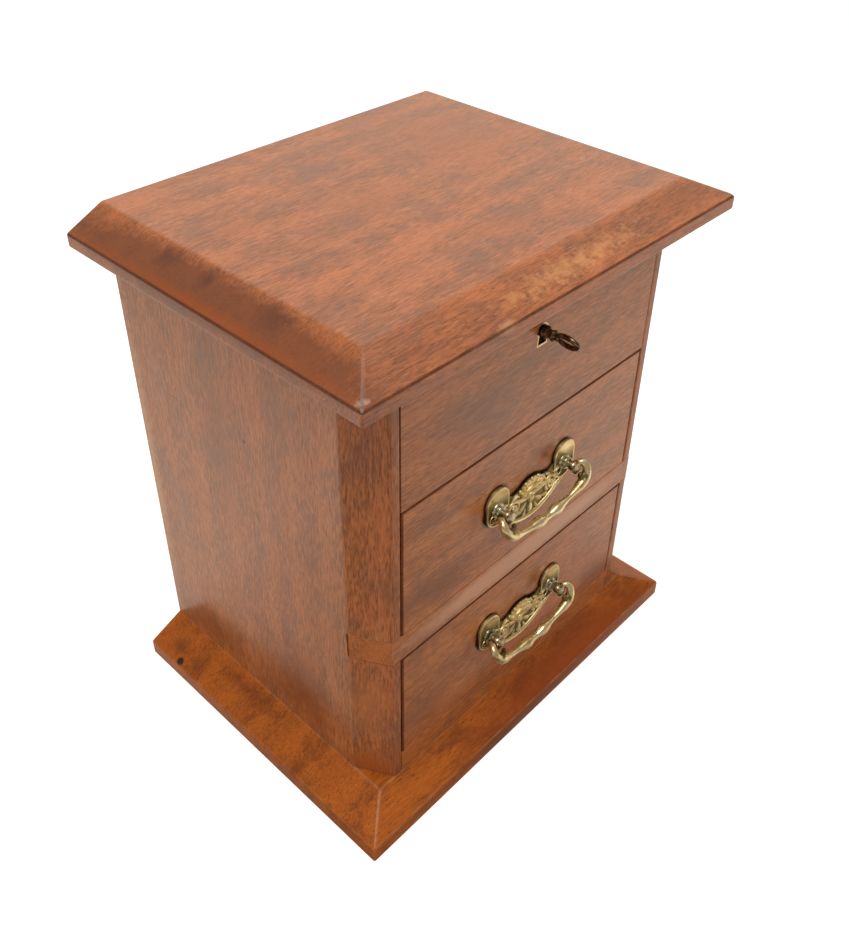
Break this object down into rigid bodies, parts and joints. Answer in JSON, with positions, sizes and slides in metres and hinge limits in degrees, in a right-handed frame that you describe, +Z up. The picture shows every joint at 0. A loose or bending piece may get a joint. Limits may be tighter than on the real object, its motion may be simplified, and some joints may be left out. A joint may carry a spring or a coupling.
{
  "type": "vanity box with drawers",
  "caption": "Free-standing wooden vanity box: bevelled hinged lid with a mirror under it over a locked compartment, above two drawers with shell bail handles.",
  "frame": {"origin": "on the floor under the middle of the base board's plan", "axes": "+X to the right seen from the front, -Y out of the front with the drawers, +Z up"},
  "size_m": [0.2526, 0.1993, 0.2878],
  "materials": {
    "base_wood": "satin varnish over mahogany, mottled",
    "side_wood": "satin varnish over mahogany, upright grain",
    "lid_wood": "satin varnish over mahogany, grain along the width",
    "front_wood": "satin varnish over mahogany, level grain",
    "back_wood": "plain varnish",
    "bead_wood": "satin varnish",
    "inner_wood": "bare planed wood",
    "felt": "short wool felt",
    "mirror": "silvered glass",
    "paper": "brown backing paper",
    "steel": "plain steel",
    "key_metal": "dark brown patina",
    "lock_brass": "rolled brass",
    "hinge_brass": "drawn brass",
    "handle_brass": "cast brass, polished, dark in the hollows"
  },
  "bodies": {
    "case": {"base_board": "base_wood", "base_screws": "steel", "side_left": "side_wood", "side_right": "side_wood", "back_panel": "back_wood", "lock_panel": "front_wood", "middle_rail": "front_wood", "bottom_rail": "front_wood", "dust_board": "inner_wood", "runner_left": "inner_wood", "runner_right": "inner_wood", "compartment_floor": "inner_wood", "compartment_felt": "felt", "drawer_stops": "inner_wood", "escutcheon": "handle_brass", "lock_case": "lock_brass", "lock_cap": "lock_brass", "lock_spring": "steel", "lock_screws": "lock_brass", "case_leaf_left": "hinge_brass", "case_leaf_right": "hinge_brass", "case_leaf_screws": "hinge_brass", "hinge_pins": "lock_brass"},
    "lid": {"lid_board": "lid_wood", "mirror_glass": "mirror", "mirror_paper": "paper", "bead_front": "bead_wood", "bead_back": "bead_wood", "bead_left": "bead_wood", "bead_right": "bead_wood", "lid_leaf_left": "hinge_brass", "lid_leaf_right": "hinge_brass", "lid_leaf_screws": "hinge_brass", "link_plate": "lock_brass", "link_screws": "lock_brass"},
    "upper_drawer": {"upper_front": "front_wood", "upper_side_left": "inner_wood", "upper_side_right": "inner_wood", "upper_back": "inner_wood", "upper_bottom": "inner_wood", "upper_felt": "felt", "upper_plate": "handle_brass", "upper_post_left": "handle_brass", "upper_post_right": "handle_brass", "upper_nuts": "lock_brass"},
    "lower_drawer": {"lower_front": "front_wood", "lower_side_left": "inner_wood", "lower_side_right": "inner_wood", "lower_back": "inner_wood", "lower_bottom": "inner_wood", "lower_felt": "felt", "lower_plate": "handle_brass", "lower_post_left": "handle_brass", "lower_post_right": "handle_brass", "lower_nuts": "lock_brass"},
    "upper_handle": {"upper_bail": "handle_brass"},
    "lower_handle": {"lower_bail": "handle_brass"},
    "bolt": {"lock_bolt": "lock_brass"},
    "key": {"key": "key_metal"}
  },
  "joints": [
    {"name": "lid_hinge", "type": "hinge", "parent": "case", "child": "lid", "pos_m": [0, 0.0976, 0.2714], "axis": [-1, 0, 0], "range_deg": [0, 100]},
    {"name": "upper_drawer_slide", "type": "slide", "parent": "case", "child": "upper_drawer", "axis": [0, -1, 0], "range_m": [0, 0.12]},
    {"name": "lower_drawer_slide", "type": "slide", "parent": "case", "child": "lower_drawer", "axis": [0, -1, 0], "range_m": [0, 0.12]},
    {"name": "upper_bail_swing", "type": "hinge", "parent": "upper_drawer", "child": "upper_handle", "pos_m": [0, -0.0852, 0.15995], "axis": [-1, 0, 0], "range_deg": [0, 120]},
    {"name": "lower_bail_swing", "type": "hinge", "parent": "lower_drawer", "child": "lower_handle", "pos_m": [0, -0.0852, 0.0718], "axis": [-1, 0, 0], "range_deg": [0, 120]},
    {"name": "key_turn", "type": "hinge", "parent": "case", "child": "key", "pos_m": [0, -0.0779, 0.2483], "axis": [0, -1, 0], "range_deg": [-24, 336]},
    {"name": "bolt_slide", "type": "slide", "parent": "case", "child": "bolt", "axis": [-1, 0, 0], "range_m": [-0.00033, 0.00467]}
  ],
  "couplings": [
    {"joint": "key_turn", "follows": "bolt_slide", "rad_per_m": 1256.6}
  ]
}
